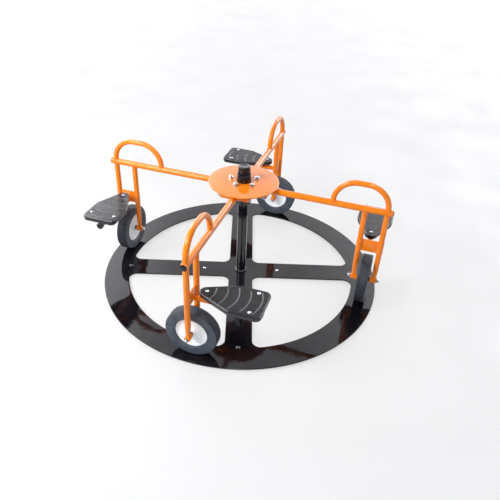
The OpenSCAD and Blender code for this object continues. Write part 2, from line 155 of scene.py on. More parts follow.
class Shape:
    """Points and faces of one piece, gathered from several closed parts."""

    def __init__(self):
        self.points = []
        self.faces = []

    def skin(self, rings, close_ends=True, loop=False):
        """Joins rings of equal length into a tube, capped at both ends or closed on itself."""
        base = len(self.points)
        n = len(rings[0])
        for ring in rings:
            self.points.extend(Vector(p) for p in ring)
        count = len(rings)
        for k in range(count if loop else count - 1):
            a = base + k * n
            b = base + (k + 1) % count * n
            for j in range(n):
                m = (j + 1) % n
                self.faces.append((a + j, a + m, b + m, b + j))
        if close_ends and not loop:
            self.faces.append(tuple(base + j for j in reversed(range(n))))
            self.faces.append(tuple(base + (count - 1) * n + j for j in range(n)))
        return self

    def lathe(self, profile, steps=64, place=Matrix(), loop=False):
        """Turns (radius, height) points about +Z of place."""
        rings = [round_ring(place, steps, lambda a: r, lambda a: z) for r, z in profile]
        return self.skin(rings, close_ends=not loop, loop=loop)

    def tube(self, path, radii, steps=32):
        """Sweeps a circle along a path; radii is one radius or one for each point."""
        path = [Vector(p) for p in path]
        if not isinstance(radii, (list, tuple)):
            radii = [radii] * len(path)
        rings = []
        side = None
        for k, p in enumerate(path):
            ahead = (path[min(k + 1, len(path) - 1)] - path[max(k - 1, 0)]).normalized()
            if side is None:
                side = ahead.orthogonal().normalized()
            side = (side - ahead * side.dot(ahead)).normalized()
            up = ahead.cross(side)
            rings.append([p + radii[k] * (math.cos(a) * side + math.sin(a) * up) for a in turn(steps)])
        return self.skin(rings)

    def prism(self, outline, low, high, place=Matrix()):
        """Raises a flat (x, y) outline from low to high."""
        rings = [[place @ Vector((x, y, z)) for x, y in outline] for z in (low, high)]
        return self.skin(rings)

    def bead(self, points, outwards, radius=1.6 * MM, steps=8, ripple=0.16):
        """Weld bead along a closed line, rippled the way overlapping puddles leave it."""
        n = len(points)
        rings = []
        for k in range(n):
            ahead = (points[(k + 1) % n] - points[k - 1]).normalized()
            out = outwards[k].normalized()
            up = ahead.cross(out)
            r = radius * (1 + ripple * math.sin(k * 1.9))
            rings.append([points[k] + r * (math.cos(a) * out + math.sin(a) * up) for a in turn(steps)])
        return self.skin(rings, loop=True)


def turn(steps):
    """Angles evenly round a circle."""
    return [TAU * k / steps for k in range(steps)]


def round_ring(place, steps, radius, height):
    """Points round +Z of place, radius and height being functions of the angle."""
    points = []
    for a in turn(steps):
        r = radius(a)
        points.append(place @ Vector((r * math.cos(a), r * math.sin(a), height(a))))
    return points


def make_mesh(name, shape, bevel=0.0, sharp=35):
    """Welds the shape's points, rounds its sharp edges by bevel, shades it smooth up to sharp degrees."""
    bm = bmesh.new()
    points = [bm.verts.new(p) for p in shape.points]
    for face in shape.faces:
        bm.faces.new([points[k] for k in face])
    bmesh.ops.remove_doubles(bm, verts=bm.verts, dist=1e-6)
    bmesh.ops.dissolve_degenerate(bm, edges=bm.edges, dist=1e-6)
    bmesh.ops.recalc_face_normals(bm, faces=bm.faces)
    if bevel:
        edges = [e for e in bm.edges if e.is_manifold and e.calc_face_angle(0) > math.radians(sharp)]
        bmesh.ops.bevel(bm, geom=edges, offset=bevel, segments=2, profile=0.5,
                        affect="EDGES", clamp_overlap=True)
    mesh = bpy.data.meshes.new(name)
    bm.to_mesh(mesh)
    bm.free()
    smooth(mesh, sharp)
    return mesh


def smooth(mesh, sharp):
    """Shades a mesh smooth, except over edges of more than sharp degrees."""
    mesh.polygons.foreach_set("use_smooth", [True] * len(mesh.polygons))
    mesh.set_sharp_from_angle(angle=math.radians(sharp))
    mesh.update()


def piece(name, mesh, body, material, replaced=(), place=Matrix()):
    """Puts a mesh in the scene as a piece of the object."""
    obj = bpy.data.objects.new(name, mesh)
    bpy.context.scene.collection.objects.link(obj)
    obj.matrix_world = place
    if not mesh.materials:
        mesh.materials.append(material)
    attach(obj, body)
    if replaced:
        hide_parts(*replaced)


def arc(cx, cy, r, start, end, steps):
    """Points of an arc, angles in degrees."""
    angles = [math.radians(start + (end - start) * k / steps) for k in range(steps + 1)]
    return [(cx + r * math.cos(a), cy + r * math.sin(a)) for a in angles]


def axle_place():
    """A frame at the axle with +Z pointing out from the post."""
    return Matrix.Translation((TRACK, 0, AXLE_H)) @ Matrix.Rotation(math.pi / 2, 4, "Y")


def bolt_place(side, y):
    """A frame on the arm bolt's line, y out to that side (1 or -1), with +Z pointing outwards."""
    return Matrix.Translation((PIVOT_X, side * y, ARM_H)) @ Matrix.Rotation(-side * math.pi / 2, 4, "X")


# ---------------------------------------------------------------- materials

class Tree:
    """A node tree, added to node by node."""

    def __init__(self, tree):
        self.tree = tree

    def add(self, kind, **settings):
        node = self.tree.nodes.new(kind)
        for key, value in settings.items():
            setattr(node, key, value)
        return node

    def join(self, source, target):
        self.tree.links.new(source, target)

    def blend(self, value, a, b):
        """Colour a where value is 0, b where it is 1."""
        node = self.add("ShaderNodeMix", data_type="RGBA")
        self.join(value, node.inputs["Factor"])
        for socket, colour in zip((node.inputs[6], node.inputs[7]), (a, b)):
            if isinstance(colour, bpy.types.NodeSocket):
                self.join(colour, socket)
            else:
                socket.default_value = (*colour, 1.0)
        return node.outputs[2]


class Graph(Tree):
    """A material's nodes."""

    def __init__(self, name):
        self.material = bpy.data.materials.new(name)
        self.material.use_nodes = True
        super().__init__(self.material.node_tree)
        self.surface = self.tree.nodes["Principled BSDF"]
        self.coords = self.add("ShaderNodeTexCoord").outputs["Object"]

    def noise(self, scale, detail=3.0, roughness=0.55):
        node = self.add("ShaderNodeTexNoise")
        node.inputs["Scale"].default_value = scale
        node.inputs["Detail"].default_value = detail
        node.inputs["Roughness"].default_value = roughness
        self.join(self.coords, node.inputs["Vector"])
        return node.outputs["Fac"]

    def cells(self, scale):
        node = self.add("ShaderNodeTexVoronoi", feature="SMOOTH_F1")
        node.inputs["Scale"].default_value = scale
        self.join(self.coords, node.inputs["Vector"])
        return node.outputs["Distance"]

    def spread(self, value, low, high, start=0.3, end=0.7):
        """Maps a value lying between start and end to low..high."""
        node = self.add("ShaderNodeMapRange")
        node.inputs["From Min"].default_value = start
        node.inputs["From Max"].default_value = end
        node.inputs["To Min"].default_value = low
        node.inputs["To Max"].default_value = high
        self.join(value, node.inputs["Value"])
        return node.outputs["Result"]

    def colour(self, value, a, b):
        self.join(self.blend(value, a, b), self.surface.inputs["Base Color"])

    def roughness(self, value, low, high):
        self.join(self.spread(value, low, high), self.surface.inputs["Roughness"])

    def bump(self, *layers):
        """Each layer is (value, height in metres)."""
        last = None
        for value, height in layers:
            node = self.add("ShaderNodeBump")
            node.inputs["Strength"].default_value = 1.0
            node.inputs["Distance"].default_value = height
            self.join(value, node.inputs["Height"])
            if last:
                self.join(last, node.inputs["Normal"])
            last = node.outputs["Normal"]
        self.join(last, self.surface.inputs["Normal"])

    def set(self, **values):
        """Sets inputs of the surface, spaces in their names written as underscores."""
        for key, value in values.items():
            self.surface.inputs[key.replace("_", " ")].default_value = value


def orange_paint(name, coat, smoothest, dullest):
    """Powder coat: an even gloss with a faint orange-peel surface and slightly paler thin spots.

    coat is the weight of a clear layer; smoothest and dullest bound the roughness.
    """
    g = Graph(name)
    g.colour(g.spread(g.noise(14), 0, 1), (0.83, 0.197, 0.006), (0.89, 0.232, 0.010))
    g.roughness(g.noise(60), smoothest, dullest)
    g.set(Specular_IOR_Level=0.3, Coat_Weight=coat, Coat_Roughness=0.03)
    g.bump((g.noise(420, 2), 0.015 * MM), (g.noise(60, 2), 0.06 * MM))
    return g.material


def plate_paint():
    """Very glossy black sheet: clear reflections, a faint unevenness, dust and fine rubbing marks."""
    g = Graph("plate_paint")
    dust = g.spread(g.noise(9, 8, 0.7), 0, 1, 0.45, 0.75)
    g.colour(dust, (0.005, 0.004, 0.006), (0.014, 0.013, 0.016))
    g.roughness(g.noise(25, 6), 0.03, 0.08)
    g.set(Specular_IOR_Level=0.27)
    g.bump((g.noise(7, 3), 1.0 * MM), (g.noise(40, 2), 0.05 * MM))
    return g.material


def post_paint():
    """Gloss black enamel on the post and the hub's casting."""
    g = Graph("post_paint")
    g.colour(g.spread(g.noise(30), 0, 1), (0.004, 0.004, 0.006), (0.010, 0.010, 0.013))
    g.roughness(g.noise(50), 0.04, 0.10)
    g.set(Coat_Weight=0.3, Coat_Roughness=0.02)
    g.bump((g.noise(300, 2), 0.015 * MM))
    return g.material


def seat_plastic():
    """Moulded black seat: fine pebble grain, rubbed paler where riders sit."""
    g = Graph("seat_plastic")
    rubbed = g.spread(g.noise(22, 6, 0.65), 0, 1, 0.35, 0.75)
    g.colour(rubbed, (0.008, 0.008, 0.009), (0.022, 0.022, 0.024))
    g.roughness(g.noise(35, 4), 0.22, 0.34)
    g.set(Specular_IOR_Level=0.17)
    g.bump((g.cells(260), 0.30 * MM), (g.noise(28, 3), 0.20 * MM))
    return g.material


def rim_plastic():
    """The seat's rounded edge and wall, left smooth and glossy by the mould."""
    g = Graph("rim_plastic")
    g.colour(g.spread(g.noise(40), 0, 1), (0.006, 0.007, 0.010), (0.012, 0.014, 0.019))
    g.roughness(g.noise(90), 0.10, 0.20)
    g.set(Specular_IOR_Level=0.5)
    g.bump((g.noise(60, 2), 0.08 * MM))
    return g.material


def groove_highlight_paint():
    """Inside of the seat's grooves: the same plastic, painted pale as a painted highlight for the light
    their edges catch.
    """
    g = Graph("groove_highlight_paint")
    g.colour(g.spread(g.noise(70, 5), 0, 1), (0.055, 0.055, 0.058), (0.11, 0.11, 0.115))
    g.roughness(g.noise(90), 0.45, 0.65)
    g.bump((g.noise(500, 3), 0.05 * MM))
    return g.material


def tyre_rubber(name, clean, dusty, shine):
    """Blue-black rubber, dry, and greyer where it has picked up the floor's dust.

    clean and dusty are its two colours; shine is its specular level.
    """
    g = Graph(name)
    g.colour(g.spread(g.noise(45, 8, 0.7), 0, 1, 0.42, 0.80), clean, dusty)
    g.roughness(g.noise(80, 4), 0.45, 0.70)
    g.set(Specular_IOR_Level=shine)
    g.bump((g.noise(900, 3), 0.04 * MM), (g.noise(120, 3), 0.10 * MM))
    return g.material


def wheel_plastic():
    """White moulded disc with a mottled, slightly bluish surface and grey grime specks."""
    g = Graph("wheel_plastic")
    mottle = g.blend(g.spread(g.noise(90, 5, 0.7), 0, 1), (0.94, 0.985, 1.0), (0.90, 0.955, 0.985))
    grime = g.spread(g.noise(200, 4, 0.8), 0, 0.55, 0.58, 0.76)
    g.colour(grime, mottle, (0.52, 0.54, 0.57))
    g.roughness(g.noise(70), 0.30, 0.48)
    g.bump((g.noise(240, 3), 0.12 * MM))
    return g.material


def zinc_steel():
    """Bright zinc plating with brushed unevenness and dull patches."""
    g = Graph("zinc_steel")
    g.colour(g.spread(g.noise(180, 5), 0, 1), (0.34, 0.37, 0.42), (0.58, 0.61, 0.65))
    g.roughness(g.noise(240, 4), 0.20, 0.36)
    g.set(Metallic=1.0)
    g.bump((g.noise(700, 2), 0.03 * MM))
    return g.material


def ring_screw_shade_paint():
    """The ring's screws painted near black as painted shade and dark reflection, darker than the cross's
    screws of the same kind; paler in random patches.
    """
    g = Graph("ring_screw_shade_paint")
    g.colour(g.spread(g.noise(160, 5), 0, 1, 0.4, 0.75), (0.018, 0.018, 0.020), (0.07, 0.07, 0.075))
    g.roughness(g.noise(240, 4), 0.25, 0.42)
    g.set(Metallic=0.3)
    g.bump((g.noise(700, 2), 0.03 * MM))
    return g.material


def bearing_steel():
    """Ground bearing steel with a thin film of oil."""
    g = Graph("bearing_steel")
    g.colour(g.spread(g.noise(120), 0, 1), (0.42, 0.43, 0.45), (0.56, 0.57, 0.59))
    g.roughness(g.noise(300), 0.18, 0.30)
    g.set(Metallic=1.0, Coat_Weight=0.3)
    g.bump((g.noise(800, 2), 0.01 * MM))
    return g.material


def black_plastic(name, coat):
    """Injection-moulded caps and plugs: glossy, with slight sink unevenness."""
    g = Graph(name)
    g.colour(g.spread(g.noise(50), 0, 1), (0.003, 0.003, 0.005), (0.009, 0.009, 0.013))
    g.roughness(g.noise(90), 0.06, 0.14)
    g.set(Specular_IOR_Level=0.3, Coat_Weight=coat, Coat_Roughness=0.03)
    g.bump((g.noise(60, 2), 0.10 * MM), (g.noise(600, 2), 0.01 * MM))
    return g.material


def pad_rubber():
    """Matt rubber of the pads under the base."""
    g = Graph("pad_rubber")
    g.colour(g.spread(g.noise(100), 0, 1), (0.020, 0.020, 0.020), (0.040, 0.040, 0.040))
    g.roughness(g.noise(300), 0.70, 0.90)
    g.bump((g.noise(500, 3), 0.10 * MM))
    return g.material


ORANGE = orange_paint("tube_paint", coat=0.12, smoothest=0.03, dullest=0.06)
DISC = orange_paint("disc_paint", coat=0.35, smoothest=0.07, dullest=0.11)
PLATE = plate_paint()
ENAMEL = post_paint()
SEAT = seat_plastic()
# pale paint inside the seat's grooves is a painted highlight
GROOVE_HIGHLIGHT = groove_highlight_paint()
RIM = rim_plastic()
RUBBER = tyre_rubber("side_wall", clean=(0.036, 0.048, 0.068), dusty=(0.098, 0.108, 0.130), shine=0.5)
TREAD = tyre_rubber("tread", clean=(0.026, 0.032, 0.043), dusty=(0.088, 0.092, 0.103), shine=0.25)
WHITE = wheel_plastic()
ZINC = zinc_steel()
# near-black paint on the ring's screws: painted shade and dark reflection
RING_SCREW_SHADE = ring_screw_shade_paint()
BEARING = bearing_steel()
BLACK = black_plastic("black_plastic", coat=0.2)
CAP = black_plastic("cap_plastic", coat=0.15)
PAD = pad_rubber()


# ---------------------------------------------------------------- base, post and hub

def round_edges(node, width):
    """Rounds a CAD node's sharp edges with modifiers, leaving its mesh alone."""
    obj = frame["nodes"][node]
    weld = obj.modifiers.new("weld", "WELD")
    weld.merge_threshold = 0.001 * MM
    bevel = obj.modifiers.new("bevel", "BEVEL")
    bevel.width = width
    bevel.segments = 2
    bevel.limit_method = "ANGLE"
    bevel.angle_limit = math.radians(40)
    bevel.harden_normals = True


def repaint(node, material):
    """Gives a CAD node that is shown as it is its material."""
    slots = frame["nodes"][node].data.materials
    slots.clear()
    slots.append(material)


def hexagon(flat_r, a):
    """Distance out to the side of a hexagon at angle a; flat_r is half its width across flats."""
    return flat_r / math.cos((a + math.pi / 6) % (math.pi / 3) - math.pi / 6)


def button_screw(head_r, head_h, socket_r, place, shape):
    """Domed screw head with a hexagon socket, standing on z = 0 of place."""
    rim_h = head_h / 4
    dome_r = (head_r ** 2 + (head_h - rim_h) ** 2) / (2 * (head_h - rim_h))
    dome_steps = 6

    def socket(a):
        return hexagon(socket_r, a)

    def ring(radius, height):
        return round_ring(place, 72, radius, height)

    rings = [ring(lambda a: head_r, lambda a: 0), ring(lambda a: head_r, lambda a: rim_h)]
    for k in range(1, dome_steps + 1):

        def radius(a):
            return head_r + (socket(a) - head_r) * k / dome_steps

        rings.append(ring(radius, lambda a: head_h - dome_r + math.sqrt(dome_r ** 2 - radius(a) ** 2)))
    rings.append(ring(socket, lambda a: head_h * 0.35))
    rings.append(ring(lambda a: socket(a) * 0.2, lambda a: head_h * 0.25))
    shape.skin(rings)


def foot_screws(node, ring_r, head_r, shank_r, material):
    """Four flanged button heads on the legs of the cross, at ring_r from the post."""
    shape = Shape()
    low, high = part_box(node)
    for k in range(4):
        leg = Matrix.Rotation(TAU * k / 4, 4, "Z") @ Matrix.Translation((ring_r, 0, plate_high.z))
        place = leg @ Matrix.Rotation(0.4 * k + ring_r, 4, "Z")
        button_screw(head_r, high.z - plate_high.z, head_r * 0.34, place, shape)
        shape.lathe([(shank_r, low.z - plate_high.z), (shank_r, 0)], 24, place)
    name = node.replace("screws", "screw_heads")
    piece(name, make_mesh(name, shape), "base", material, [node])


def post():
    """Post with a stout, slightly rippled weld bead round its foot."""
    shape = Shape()
    edge = 1 * MM
    shape.lathe([(POST_R, plate_high.z), (POST_R, post_high.z - edge), (POST_R - edge, post_high.z)], 96)
    points = round_ring(Matrix(), 160, lambda a: POST_R + 0.5 * MM, lambda a: plate_high.z + 3.5 * MM)
    shape.bead(points, [Vector((p.x, p.y, 0)) for p in points], 4.4 * MM, 16, ripple=0.06)
    piece("post_tube", make_mesh("post_tube", shape), "base", ENAMEL, ["centre_post"])


def hub_cap():
    """Bell-shaped cap: a tapering skirt, a fine groove near the top, a rounded rim, a slightly sunk top."""
    h = cap_high.z - cap_low.z
    base_r = (cap_high.x - cap_low.x) / 2
    crown_r = 25 * MM
    edge = 5 * MM
    groove_h = 46 * MM
    lip = 0.8 * MM
    sunk_r = crown_r - edge - 2.5 * MM
    sunk_h = h - 0.6 * MM

    def flank(z):
        return base_r + (crown_r - base_r) * z / (h - edge)

    profile = [(base_r - lip, 0), (flank(lip), lip), (flank(groove_h / 2), groove_h / 2)]
    for rise, depth in ((-1.6, 0), (-0.8, 0.7), (0.8, 0.9), (1.6, 0.1)):
        z = groove_h + rise * MM
        profile.append((flank(z) - depth * MM, z))
    profile += arc(crown_r - edge, h - edge, edge, 4, 90, 8)
    profile += [(sunk_r + 1 * MM, h), (sunk_r, sunk_h), (0, sunk_h)]
    place = Matrix.Translation((0, 0, cap_low.z))
    mesh = make_mesh("cap_shell", Shape().lathe(profile, 96, place), sharp=50)
    piece("cap_shell", mesh, "carousel", CAP, ["hub_cap"])


def lug_outline(height, radius):
    """Lug seen from the side: square at the disc, round about the bolt at the origin."""
    return [(radius, height), (-radius, height)] + arc(0, 0, radius, 180, 360, 24)


def turning_disc():
    """Disc with softly rounded rim, and two lugs for each arm under it."""
    shape = Shape()
    t = DISC_TOP - DISC_UNDER
    edge = 1.6 * MM
    gap = 0.5 * MM
    profile = [(SPIGOT_R + gap, 0)]
    profile += arc(DISC_R - edge, edge, edge, -90, 0, 4)
    profile += arc(DISC_R - edge, t - edge, edge, 0, 90, 4)
    profile += [(SPIGOT_R + 2 * gap, t), (SPIGOT_R + gap, t - gap)]
    shape.lathe(profile, 180, Matrix.Translation((0, 0, DISC_UNDER)), loop=True)
    disc_mesh = make_mesh("disc_plate", shape, sharp=30)
    piece("disc_plate", disc_mesh, "carousel", DISC, ["top_disc"])

    lugs = Shape()
    welds = Shape()
    outline = lug_outline(DISC_UNDER - ARM_H + 0.5 * MM, ARM_R)
    flat = Matrix.Rotation(math.pi / 2, 4, "X")
    for side in (-1, 1):
        y = side * (CROSS_HALF + 0.1 * MM) + (LUG_T if side > 0 else 0)
        lugs.prism(outline, 0, LUG_T, Matrix.Translation((PIVOT_X, y, ARM_H)) @ flat)
        foot = Vector((PIVOT_X, y - LUG_T / 2, DISC_UNDER))
        loop = [foot + Vector((dx, dy, 0)) for dx, dy in rectangle_loop(ARM_R, LUG_T / 2, 14)]
        welds.bead(loop, [p - foot for p in loop], 1.8 * MM)
    lug_mesh = make_mesh("lugs", lugs, 0.8 * MM)
    weld_mesh = make_mesh("lug_welds", welds)
    for i in ARMS:
        piece(f"lugs_{i}", lug_mesh, "carousel", ORANGE, place=arm_turn(i))
        piece(f"lug_welds_{i}", weld_mesh, "carousel", ORANGE, place=arm_turn(i))


def rectangle_loop(half_x, half_y, per_side):
    """Points evenly round a rectangle, counter-clockwise."""
    corners = [(half_x, -half_y), (half_x, half_y), (-half_x, half_y), (-half_x, -half_y)]
    points = []
    for k, (x0, y0) in enumerate(corners):
        x1, y1 = corners[(k + 1) % 4]
        for s in range(per_side):
            points.append((x0 + (x1 - x0) * s / per_side, y0 + (y1 - y0) * s / per_side))
    return points


def hex_nut(shape, place, flats, height, bore_r):
    """Hexagon nut on z = 0 of place, its corners turned off at 30 degrees above and below."""
    slope = math.tan(math.radians(30))
    face_r = flats / 2 * 0.96
    lead_in = 0.8 * MM

    def side(a):
        return hexagon(flats / 2, a)

    def ring(radius, z):
        return round_ring(place, 72, radius, z)

    rings = [
        ring(lambda a: bore_r, lambda a: 0),
        ring(lambda a: face_r, lambda a: 0),
        ring(side, lambda a: (side(a) - face_r) * slope),
        ring(side, lambda a: height - (side(a) - face_r) * slope),
        ring(lambda a: face_r, lambda a: height),
        ring(lambda a: bore_r + lead_in, lambda a: height),
        ring(lambda a: bore_r, lambda a: height - lead_in),
    ]
    shape.skin(rings, loop=True)


def threaded_rod(shape, place, radius, low, high):
    """Rod with a real spiral thread and a chamfered end at high."""
    rings_per_turn = 8
    thread_depth = 0.8 * MM
    chamfer = 1.2 * MM
    count = max(2, int((high - low) / THREAD_PITCH * rings_per_turn))
    rings = []
    for k in range(count + 1):
        z = low + (high - low) * k / count
        end_cut = max(0.0, z - (high - chamfer))

        def thread(a):
            phase = (z / THREAD_PITCH - a / TAU) % 1.0
            return radius - max(thread_depth * abs(2 * phase - 1), end_cut)

        rings.append(round_ring(place, 32, thread, lambda a: z))
    shape.skin(rings)


def hub_fasteners():
    """Washers, nuts and threaded studs that hold the disc to the hub."""
    washers, nuts, studs = Shape(), Shape(), Shape()
    washer_t = washer_high.z - DISC_TOP
    stud_low, stud_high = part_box("hub_studs")
    head_z = stud_low.z - DISC_TOP
    head_r, head_h = 8 * MM, 4 * MM
    hole_r, edge = BOLT_R + 0.2 * MM, 0.4 * MM
    washer = [(hole_r, 0), (WASHER_R, 0), (WASHER_R, washer_t - edge), (WASHER_R - edge, washer_t),
              (hole_r, washer_t)]
    first = math.atan2(*reversed(joint("wheel_1_spin")["axis"][:2])) + TAU / 20
    for k in range(STUDS):
        spin = Matrix.Rotation(first + TAU * k / STUDS, 4, "Z")
        place = spin @ Matrix.Translation((STUD_RING_R, 0, DISC_TOP)) @ Matrix.Rotation(0.35 + k, 4, "Z")
        on_washer = place @ Matrix.Translation((0, 0, washer_t))
        washers.lathe(washer, 48, place, loop=True)
        hex_nut(nuts, on_washer, NUT_FLATS, NUT_H, BOLT_R + 0.05 * MM)
        threaded_rod(studs, place, BOLT_R, -10 * MM, stud_high.z - DISC_TOP)
        studs.lathe([(head_r, head_z), (head_r, head_z + head_h)], 32, place)
    piece("stud_washers", make_mesh("stud_washers", washers), "carousel", ZINC, ["hub_washers"])
    piece("stud_nuts", make_mesh("stud_nuts", nuts, sharp=25), "carousel", ZINC, ["hub_nuts"])
    piece("studs", make_mesh("studs", studs, sharp=25), "carousel", ZINC, ["hub_studs"])


def arm_bolts():
    """Bolt through each cross tube: hexagon head on one side, nut and threaded end on the other."""
    bolts, nuts = Shape(), Shape()
    head_y = CROSS_HALF + LUG_T + 0.1 * MM
    near = bolt_place(1, head_y)
    far = bolt_place(-1, head_y)
    thread_start = -4 * MM
    hex_nut(bolts, near, NUT_FLATS, BOLT_HEAD_H, 0.1 * MM)
    threaded_rod(bolts, far, BOLT_R, thread_start, NUT_H + 5 * MM)
    bolts.lathe([(BOLT_R, -2 * head_y), (BOLT_R, thread_start)], 32, far)
    hex_nut(nuts, far, NUT_FLATS, NUT_H, BOLT_R + 0.05 * MM)
    bolt_mesh = make_mesh("arm_bolt", bolts, sharp=25)
    nut_mesh = make_mesh("arm_nut", nuts, sharp=25)
    for i in ARMS:
        piece(f"arm_bolt_{i}", bolt_mesh, "carousel", ZINC, ["arm_bolts"], arm_turn(i))
        piece(f"arm_nut_{i}", nut_mesh, "carousel", ZINC, ["arm_bolt_nuts"], arm_turn(i))


# ---------------------------------------------------------------- arms

def handle_path():
    """Up from the arm, round the inner bend, level, round the outer bend, down to the arm."""
    level = HANDLE_H - HANDLE_BEND_R
    path = [(HANDLE_IN, ARM_H)]
    path += arc(HANDLE_IN + HANDLE_BEND_R, level, HANDLE_BEND_R, 180, 90, 20)
    path += arc(LEG_OUT - HANDLE_BEND_R, level, HANDLE_BEND_R, 90, 0, 20)
    path += [(LEG_OUT, ARM_H)]
    return [(x, 0, z) for x, z in path]


def fork_leg(shape, x):
    """Leg from the arm to the axle boss, drawn in towards its foot."""
    steps = 10
    heights = [ARM_H, AXLE_H + LEG_TAPER_H]
    radii = [TUBE_R, TUBE_R]
    for k in range(1, steps + 1):
        share = k / steps
        heights.append(AXLE_H + LEG_TAPER_H * (1 - share))
        radii.append(TUBE_R + (LEG_FOOT_R - TUBE_R) * (3 * share ** 2 - 2 * share ** 3))
    shape.tube([(x, 0, z) for z in heights], radii)


def axle_bosses(shape):
    """A boss at each leg's foot, with the axle's hole through it."""
    edge = 1.2 * MM
    profile = [(AXLE_R, BOSS_IN), (BOSS_R - edge, BOSS_IN), (BOSS_R, BOSS_IN + edge),
               (BOSS_R, BOSS_OUT - edge), (BOSS_R - edge, BOSS_OUT), (AXLE_R, BOSS_OUT)]
    for side in (1, -1):
        flip = Matrix.Scale(side, 4, Vector((0, 0, 1)))
        shape.lathe(profile, 48, axle_place() @ flip, loop=True)


def seat_bracket(shape, y, length):
    """Plate under the seat with its corners rounded, and a web down to the seat tube."""
    corner = 5 * MM
    side_x, side_y = length / 2 - corner, BRACKET_HALF_W - corner
    outline = []
    for cx, cy, start in ((1, -1, -90), (1, 1, 0), (-1, 1, 90), (-1, -1, 180)):
        outline += arc(SEAT_X + cx * side_x, y + cy * side_y, corner, start, start + 90, 5)
    shape.prism(outline, SEAT_UNDER - BRACKET_T, SEAT_UNDER)
    web = [(SEAT_X + x, y + dy) for x, dy in rectangle_loop(WEB_HALF_T, BRACKET_HALF_W, 1)]
    shape.prism(web, SEAT_TUBE_H + 6 * MM, SEAT_UNDER - BRACKET_T + 1 * MM)


def saddle(x, r, main_r, main_h, side):
    """Line where an upright tube of radius r at x meets the arm tube, above (1) or below (-1)."""
    points, outs = [], []
    for a in turn(48):
        y = r * math.sin(a)
        points.append(Vector((x + r * math.cos(a), y, main_h + side * math.sqrt(main_r ** 2 - y ** 2))))
        outs.append(Vector((math.cos(a), math.sin(a), 0)))
    return points, outs


def arm_frame():
    """Everything that is welded into one arm, without the weld beads."""
    shape = Shape()
    shape.tube([(PIVOT_X, -CROSS_HALF, ARM_H), (PIVOT_X, CROSS_HALF, ARM_H)], ARM_R, 48)
    shape.tube([(PIVOT_X, 0, ARM_H), (ARM_TIP - 1 * MM, 0, ARM_H), (ARM_TIP, 0, ARM_H)],
               [ARM_R, ARM_R, ARM_R - 0.8 * MM], 48)
    shape.tube(handle_path(), TUBE_R, 40)
    for x in (LEG_IN, LEG_OUT):
        fork_leg(shape, x)
    shape.tube([(SEAT_TUBE_X, 0, SEAT_TUBE_H), (SEAT_TUBE_X, SEAT_TUBE_END, SEAT_TUBE_H)], TUBE_R)
    axle_bosses(shape)
    return make_mesh("arm_frame", shape)


def arm_plates():
    """Flat parts of one arm: the bridge between the legs and the two seat brackets."""
    shape = Shape()
    face = BRIDGE_T / 2
    bridge = [(LEG_IN, -face), (LEG_OUT, -face), (LEG_OUT, face), (LEG_IN, face)]
    shape.prism(bridge, BRIDGE_LOW, BRIDGE_HIGH)
    seat_bracket(shape, SCREW_BACK_Y, length=124 * MM)
    seat_bracket(shape, SCREW_TIP_Y, length=32 * MM)
    return make_mesh("arm_plates", shape, 0.7 * MM)


def bridge_welds(shape, x):
    """Beads on both faces of the bridge, where it meets the leg at x."""
    middle = (BRIDGE_LOW + BRIDGE_HIGH) / 2
    for face in (-1, 1):
        line = rectangle_loop(TUBE_R * 0.96, (BRIDGE_HIGH - BRIDGE_LOW) / 2, 18)
        loop = [Vector((x + dx, face * (BRIDGE_T / 2), middle + dz)) for dx, dz in line]
        shape.bead(loop, [Vector((0, face, 0))] * len(loop), 1.2 * MM)


def seat_tube_weld(shape):
    """Bead where the seat tube stands on the bridge."""
    start = Vector((SEAT_TUBE_X, BRIDGE_T / 2, SEAT_TUBE_H))
    outs = [Vector((math.cos(a), 0, math.sin(a))) for a in turn(48)]
    shape.bead([start + TUBE_R * out for out in outs], outs)


def root_weld(shape):
    """Bead where the arm tube meets the cross tube, both of the same radius."""
    root, outs = [], []
    for a in turn(64):
        y, z = ARM_R * math.cos(a), ARM_R * math.sin(a)
        root.append(Vector((PIVOT_X + math.sqrt(max(0, ARM_R ** 2 - z ** 2)), y, ARM_H + z)))
        outs.append(Vector((1, math.cos(a), math.sin(a))))
    shape.bead(root, outs, 1.8 * MM)


def arm_welds():
    """All of one arm's weld beads."""
    shape = Shape()
    for x in (HANDLE_IN, LEG_OUT):
        shape.bead(*saddle(x, TUBE_R, ARM_R, ARM_H, 1))
    for x in (LEG_IN, LEG_OUT):
        shape.bead(*saddle(x, TUBE_R, ARM_R, ARM_H, -1))
        shape.bead(*saddle(x, LEG_FOOT_R + 0.4 * MM, BOSS_R, AXLE_H, 1), 1.3 * MM)
        bridge_welds(shape, x)
    seat_tube_weld(shape)
    root_weld(shape)
    return make_mesh("arm_welds", shape)


def arms():
    """The four arms, alike."""
    frame_mesh = arm_frame()
    plate_mesh = arm_plates()
    weld_mesh = arm_welds()
    for i in ARMS:
        place = arm_turn(i)
        piece(f"arm_frame_{i}", frame_mesh, "carousel", ORANGE, [f"arm_{i}"], place)
        piece(f"arm_plates_{i}", plate_mesh, "carousel", ORANGE, [f"arm_{i}"], place)
        piece(f"arm_welds_{i}", weld_mesh, "carousel", ORANGE, [f"arm_{i}"], place)


# ---------------------------------------------------------------- wheels

